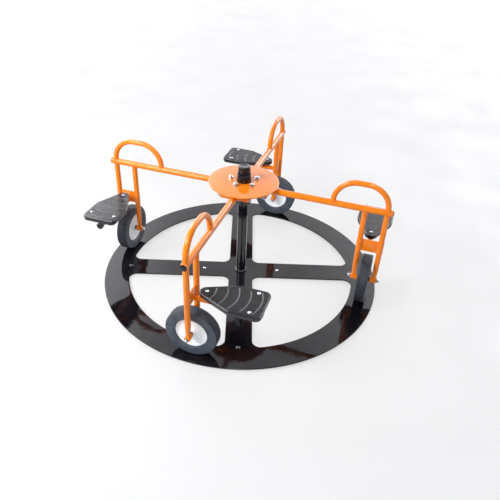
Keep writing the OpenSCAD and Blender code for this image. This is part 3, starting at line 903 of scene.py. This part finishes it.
def tyre():
    """Solid tyre: side walls with a moulded line, tight shoulders, a flat tread of fine straight ribs."""
    wheel_r = (tyre_high.z - tyre_low.z) / 2
    half_w = (tyre_high.x - tyre_low.x) / 2
    inner = disc_high.z - AXLE_H + 0.05 * MM
    shoulder, bead, groove = 6.5 * MM, 5 * MM, 1.5 * MM
    line_r, line_depth = inner + 10.5 * MM, 0.9 * MM
    side = [(inner, 0), (inner, half_w - bead)]
    side += arc(inner + bead, half_w - bead, bead, 180, 90, 6)
    for step, depth in ((-1.5, 0), (-0.7, 1), (0.7, 1), (1.5, 0)):
        side.append((line_r + step * MM, half_w - depth * line_depth))
    side.append((wheel_r - shoulder - 5 * MM, half_w))
    side += arc(wheel_r - shoulder, half_w - shoulder, shoulder, 90, 0, 12)
    for groove_y in (14.5, 8.7, 2.9):
        for step, depth in ((1.1, 0), (0.6, 0.85), (0, 1), (-0.6, 0.85), (-1.1, 0)):
            side.append((wheel_r - depth * groove, (groove_y + step) * MM))
    side.append((wheel_r, 0))
    profile = side + [(r, -z) for r, z in reversed(side[1:-1])]
    mesh = make_mesh("tyre_rubber", Shape().lathe(profile, 176, axle_place(), loop=True), sharp=40)
    mesh.materials.append(RUBBER)
    mesh.materials.append(TREAD)
    for face in mesh.polygons:
        r = Vector((face.center.y, face.center.z - AXLE_H)).length
        face.material_index = 1 if r > wheel_r - 2 * groove else 0
    return mesh


def wheel_centre():
    """White disc: raised hub, shallow dish and rim lip."""
    rim_r = disc_high.z - AXLE_H
    half_hub = (disc_high.x - disc_low.x) / 2
    half_rim, half_web, hub_r, bore_r = 16 * MM, 13 * MM, 17 * MM, 9 * MM
    lead_in, hub_edge, hub_fillet, lip_fillet, lip_edge = 0.6 * MM, 1.5 * MM, 2.5 * MM, 2.2 * MM, 1.2 * MM
    side = [(bore_r, half_hub - lead_in), (bore_r + lead_in, half_hub), (hub_r - hub_edge, half_hub)]
    side += arc(hub_r - hub_edge, half_hub - hub_edge, hub_edge, 90, 0, 4)
    side += arc(hub_r + hub_fillet, half_web + hub_fillet, hub_fillet, 180, 270, 5)
    side += [(rim_r - 12 * MM, half_web - 0.6 * MM)]
    side += arc(rim_r - 8.5 * MM, half_web + 1.6 * MM, lip_fillet, 270, 345, 4)
    side += arc(rim_r - 4.5 * MM, half_rim - lip_edge, lip_edge, 165, 90, 3)
    side += arc(rim_r - lip_edge, half_rim - lip_edge, lip_edge, 90, 0, 3)
    profile = side + [(r, -z) for r, z in reversed(side)]
    return make_mesh("wheel_centre", Shape().lathe(profile, 128, axle_place(), loop=True))


def dome_nuts():
    """Domed nut on each end of the axle: chamfered hexagon and round dome."""
    shape = Shape()
    dome_r = AXLE_NUT_FLATS / 2 - 0.5 * MM
    dome = [(AXLE_R, AXLE_NUT_H - 1 * MM), (dome_r, AXLE_NUT_H - 0.4 * MM)]
    dome += arc(0, AXLE_NUT_H, dome_r, 0, 90, 12)
    for side in (1, -1):
        flip = Matrix.Scale(side, 4, Vector((0, 0, 1)))
        place = axle_place() @ flip @ Matrix.Translation((0, 0, BOSS_OUT))
        hex_nut(shape, place, AXLE_NUT_FLATS, AXLE_NUT_H, AXLE_R)
        shape.lathe(dome, 48, place)
    return make_mesh("dome_nuts", shape, sharp=25)


def wheels():
    """Tyre and disc of each wheel, which turn, and the nuts on its axle, which don't."""
    tyre_mesh = tyre()
    disc_mesh = wheel_centre()
    nut_mesh = dome_nuts()
    for i in ARMS:
        place = arm_turn(i)
        body = f"wheel_{i}"
        piece(f"tyre_tread_{i}", tyre_mesh, body, RUBBER, [f"tyre_{i}"], place)
        piece(f"wheel_centre_{i}", disc_mesh, body, WHITE, [f"wheel_disc_{i}"], place)
        piece(f"dome_nuts_{i}", nut_mesh, "carousel", ZINC, ["axle_nuts"], place)


# ---------------------------------------------------------------- seats

def belt(circles, steps):
    """Outline of a belt drawn tight round (x, y, r) circles, counter-clockwise."""
    n = len(circles)

    def leave(a, b):
        """Angle at which the belt leaves circle a for circle b."""
        gap = Vector((b[0] - a[0], b[1] - a[1]))
        return math.atan2(gap.y, gap.x) - math.acos((a[2] - b[2]) / gap.length)

    points = []
    for k, (x, y, r) in enumerate(circles):
        start = leave(circles[k - 1], circles[k])
        end = leave(circles[k], circles[(k + 1) % n])
        while end < start:
            end += TAU
        angles = [start + (end - start) * s / steps for s in range(steps + 1)]
        points += [(x + r * math.cos(a), y + r * math.sin(a)) for a in angles]
    return points


def seat_outline(inset):
    """The seat from above, drawn in by inset: round tip, wide shoulders, rounded back corners."""
    tip_r, shoulder_r, corner_r = 26 * MM, 45 * MM, 22 * MM
    tip_y = seat_low.y + tip_r
    shoulder_y = seat_low.y + 0.56 * SEAT_L
    corner_y = seat_high.y - corner_r
    return belt([
        (SEAT_X, tip_y, tip_r - inset),
        (SEAT_X + SEAT_HALF_W - shoulder_r, shoulder_y, shoulder_r - inset),
        (SEAT_X + SEAT_HALF_W - corner_r, corner_y, corner_r - inset),
        (SEAT_X - SEAT_HALF_W + corner_r, corner_y, corner_r - inset),
        (SEAT_X - SEAT_HALF_W + shoulder_r, shoulder_y, shoulder_r - inset)], 20)


def seat_body():
    """Moulded pad: rounded top edge, wall drawn in below a lip, rounded lower edge."""
    round_top, round_low = 4.5 * MM, 3 * MM
    lip = SEAT_TOP - 9 * MM
    levels = []
    for k in range(7):
        a = math.pi / 2 * k / 6
        levels.append((round_top * (1 - math.sin(a)), SEAT_TOP - round_top * (1 - math.cos(a))))
    levels += [(0, lip), (0.9 * MM, lip - 0.8 * MM), (1.1 * MM, lip - 2 * MM)]
    for k in range(5):
        a = math.pi / 2 * k / 4
        inset = 1.5 * MM + round_low * (1 - math.cos(a))
        levels.append((inset, SEAT_UNDER + round_low * (1 - math.sin(a))))
    rings = [[Vector((x, y, z)) for x, y in seat_outline(inset)] for inset, z in levels]
    return Shape().skin(rings)


def add_groove_cutter(shape, bow_r, bow_y, reach):
    """Round bar bent to an arc whose middle lies at bow_y, its axis just above the seat's top."""
    half_angle = math.degrees(math.asin(reach / bow_r))
    path = arc(SEAT_X, bow_y - bow_r, bow_r, 90 - half_angle, 90 + half_angle, 28)
    shape.tube([(x, y, SEAT_TOP + 1.6 * MM) for x, y in path], 3.2 * MM, 20)


def groove_cutters():
    """Bent bars across the seat, wider and flatter towards its back."""
    shape = Shape()
    for k in range(GROOVES):
        bow_y = seat_low.y + (0.231 + 0.172 * k) * SEAT_L
        add_groove_cutter(shape, (95 + 9 * k) * MM, bow_y, min(32 + 15 * k, 60) * MM)
    return make_mesh("groove_cutters", shape)


def cut_mesh(name, body_mesh, cutter_mesh):
    """What is left of body_mesh outside cutter_mesh."""
    body = bpy.data.objects.new("body", body_mesh)
    cutter = bpy.data.objects.new("cutter", cutter_mesh)
    for obj in (body, cutter):
        bpy.context.scene.collection.objects.link(obj)
    cut = body.modifiers.new("cut", "BOOLEAN")
    cut.operation = "DIFFERENCE"
    cut.solver = "EXACT"
    cut.object = cutter
    graph = bpy.context.evaluated_depsgraph_get()
    mesh = bpy.data.meshes.new_from_object(body.evaluated_get(graph))
    mesh.name = name
    bpy.data.objects.remove(cutter)
    bpy.data.objects.remove(body)
    return mesh


def seat():
    """Seat pad with curved grooves across its top, painted pale inside as a painted highlight, and a glossy
    rim and wall.
    """
    mesh = cut_mesh("seat_pad", make_mesh("seat_body", seat_body(), sharp=30), groove_cutters())
    mesh.materials.clear()
    for material in (SEAT, GROOVE_HIGHLIGHT, RIM):
        mesh.materials.append(material)
    groove_depth = 1.8 * MM
    groove_reach = SEAT_HALF_W - 9 * MM
    for face in mesh.polygons:
        depth = SEAT_TOP - face.center.z
        across = abs(face.center.x - SEAT_X)
        inside = across < groove_reach and face.normal.z > 0.2 and depth < groove_depth
        # faces inside the grooves take the pale painted highlight
        if inside and depth > 0.05 * MM:
            face.material_index = 1
        elif not inside and depth > 0.3 * MM:
            face.material_index = 2
    smooth(mesh, 30)
    return mesh


def seat_screw_heads():
    """Button-head screws of one seat: two at the back, one at the tip."""
    shape = Shape()
    spots = [(SEAT_X - SCREW_BACK_DX, SCREW_BACK_Y),
             (SEAT_X + SCREW_BACK_DX, SCREW_BACK_Y),
             (SEAT_X, SCREW_TIP_Y)]
    end_z = SEAT_UNDER - SEAT_TOP - 4 * MM
    for k, (x, y) in enumerate(spots):
        place = Matrix.Translation((x, y, SEAT_TOP)) @ Matrix.Rotation(0.7 * k, 4, "Z")
        button_screw(6.25 * MM, 3.5 * MM, 2.2 * MM, place, shape)
        shape.lathe([(SEAT_SHANK_R, end_z), (SEAT_SHANK_R, 0)], 24, place)
    return make_mesh("seat_screw_heads", shape)


def seats():
    """The four seats, alike."""
    pad_mesh = seat()
    screw_mesh = seat_screw_heads()
    for i in ARMS:
        place = arm_turn(i)
        piece(f"seat_pad_{i}", pad_mesh, "carousel", SEAT, [f"seat_{i}"], place)
        piece(f"seat_screw_heads_{i}", screw_mesh, "carousel", ZINC, ["seat_screws"], place)


# ---------------------------------------------------------------- build the object

repaint("base_plate", PLATE)
round_edges("base_plate", 0.8 * MM)
repaint("base_pads", PAD)
foot_screws("cross_screws", ring_r=164 * MM, head_r=6.25 * MM, shank_r=3 * MM,
            material=ZINC)
# the ring's screws get near-black paint as painted shade
foot_screws("ring_screws", ring_r=494 * MM, head_r=8.5 * MM, shank_r=4 * MM,
            material=RING_SCREW_SHADE)
post()
repaint("spindle", BEARING)
for level in ("lower", "upper"):
    repaint(f"{level}_bearing_inner", BEARING)
    repaint(f"{level}_bearing_outer", BEARING)
repaint("spindle_washer", ZINC)
repaint("spindle_nut", ZINC)
repaint("hub", ENAMEL)
turning_disc()
hub_cap()
hub_fasteners()
arm_bolts()
arms()
wheels()
seats()
repaint("axle_spacers", BLACK)
for arm in ARMS:
    repaint(f"arm_plug_{arm}", BLACK)
    repaint(f"seat_tube_cap_{arm}", BLACK)
    repaint(f"axle_{arm}", ZINC)
    repaint(f"wheel_bush_{arm}", BLACK)


# ---------------------------------------------------------------- floor, light and camera

# Strength of the floor's own light, as the camera and glossy paint see it and as it lights the object
FLOOR_GLOW = 0.59
FLOOR_BOUNCE = 0.30
# What the camera sees behind the floor, and the even light that falls on the object
BACKDROP = (0.93, 0.935, 0.94)
SKY_LIGHT = (0.66, 0.67, 0.70)
# What glossy paint sees: a dim studio, its back wall in three parts, and round lamps,
# each as (azimuth, elevation, radius, strength), in degrees
STUDIO_DIM = (0.25, 0.26, 0.28)
WALL_LEFT = (4.8, 4.8, 5.0)
WALL_MIDDLE = (1.75, 1.75, 1.82)
WALL_RIGHT = (3.3, 3.3, 3.4)
LAMPS = ((-36, 28, 10, 16), (36, 28, 8, 14), (184, 48, 7, 34))

# The camera's place, with lengths in radii of the base
CAMERA_AZIMUTH = -1.17
CAMERA_ELEVATION = 35.0
CAMERA_ROLL = 2.67
CAMERA_DISTANCE = 4.303
CAMERA_AIM = (0.068, 0.2552, 0)
CAMERA_LENS_MM = 39.01


def floor():
    """Wide pale floor, faintly mottled and lit from within; it throws less light on the object."""
    g = Graph("floor_paint")
    g.colour(g.spread(g.noise(0.8, 4), 0, 1), (0.19, 0.195, 0.20), (0.215, 0.215, 0.22))
    g.roughness(g.noise(3), 0.55, 0.7)
    bounce = g.add("ShaderNodeLightPath").outputs["Is Diffuse Ray"]
    g.join(g.spread(bounce, FLOOR_GLOW, FLOOR_BOUNCE, 0, 1), g.surface.inputs["Emission Strength"])
    g.set(Emission_Color=(1, 1, 1, 1))
    half, thickness = 20, 0.02
    shape = Shape().prism([(-half, -half), (half, -half), (half, half), (-half, half)], -thickness, 0)
    obj = bpy.data.objects.new("floor", make_mesh("floor", shape))
    obj.data.materials.append(g.material)
    bpy.context.scene.collection.objects.link(obj)


def heading(azimuth, elevation):
    """Unit vector, azimuth 0 being +Y and 90 +X; both in degrees."""
    a, e = math.radians(azimuth), math.radians(elevation)
    return Vector((math.sin(a) * math.cos(e), math.cos(a) * math.cos(e), math.sin(e)))


def sky():
    """Even light; glossy paint sees a dim studio with a bright back wall, brighter to both sides."""
    world = bpy.data.worlds.new("studio")
    world.use_nodes = True
    bpy.context.scene.world = world
    t = Tree(world.node_tree)

    def span(source, low, high):
        """Rises smoothly from 0 at low to 1 at high."""
        node = t.add("ShaderNodeMapRange", interpolation_type="SMOOTHSTEP")
        node.inputs["From Min"].default_value = low
        node.inputs["From Max"].default_value = high
        t.join(source, node.inputs["Value"])
        return node.outputs["Result"]

    coords = t.add("ShaderNodeTexCoord").outputs["Generated"]
    split = t.add("ShaderNodeSeparateXYZ")
    t.join(coords, split.inputs[0])
    near, far = 0.08, 0.30
    wall = t.blend(span(split.outputs["X"], -far, -near), WALL_LEFT, WALL_MIDDLE)
    wall = t.blend(span(split.outputs["X"], near, far), wall, WALL_RIGHT)
    studio = t.blend(span(split.outputs["Y"], 0.0, 0.45), STUDIO_DIM, wall)
    for azimuth, elevation, radius, strength in LAMPS:
        facing = t.add("ShaderNodeVectorMath", operation="DOT_PRODUCT")
        t.join(coords, facing.inputs[0])
        facing.inputs[1].default_value = heading(azimuth, elevation)
        rim = [math.cos(math.radians(radius * k)) for k in (1.15, 0.85)]
        studio = t.blend(span(facing.outputs["Value"], *rim), studio, (strength,) * 3)
    ray = t.add("ShaderNodeLightPath").outputs
    back = t.tree.nodes["Background"]
    seen = t.blend(ray["Is Camera Ray"], t.blend(ray["Is Glossy Ray"], SKY_LIGHT, studio), BACKDROP)
    t.join(seen, back.inputs["Color"])
    back.inputs["Strength"].default_value = 1.0


def softbox(name, place, side, power):
    """Square soft lamp at place, turned to the object; side in metres, power in watts."""
    lamp = bpy.data.lights.new(name, "AREA")
    lamp.size = side
    lamp.energy = power
    obj = bpy.data.objects.new(name, lamp)
    bpy.context.scene.collection.objects.link(obj)
    obj.location = place
    obj.rotation_euler = (Vector(place) - Vector((0, 0, 0.3))).to_track_quat("Z", "Y").to_euler()


def camera():
    """Looks down from the front, a little turned and tilted."""
    radius = plate_high.x
    target = Vector(CAMERA_AIM) * radius + Vector((0, 0, plate_high.z))
    away = heading(180 - CAMERA_AZIMUTH, CAMERA_ELEVATION)
    lens = bpy.data.cameras.new("camera")
    lens.sensor_width = 36
    lens.lens = CAMERA_LENS_MM
    obj = bpy.data.objects.new("camera", lens)
    bpy.context.scene.collection.objects.link(obj)
    level = (-away).to_track_quat("-Z", "Y").to_matrix().to_4x4()
    roll = Matrix.Rotation(math.radians(CAMERA_ROLL), 4, "Z")
    obj.matrix_world = Matrix.Translation(target + CAMERA_DISTANCE * radius * away) @ level @ roll
    bpy.context.scene.camera = obj


floor()
sky()
softbox("key_light", place=(-1.5, -0.9, 1.6), side=0.9, power=48)
softbox("fill_light", place=(1.8, -1.2, 2.2), side=1.2, power=4)
camera()
bpy.context.scene.view_settings.view_transform = "Standard"
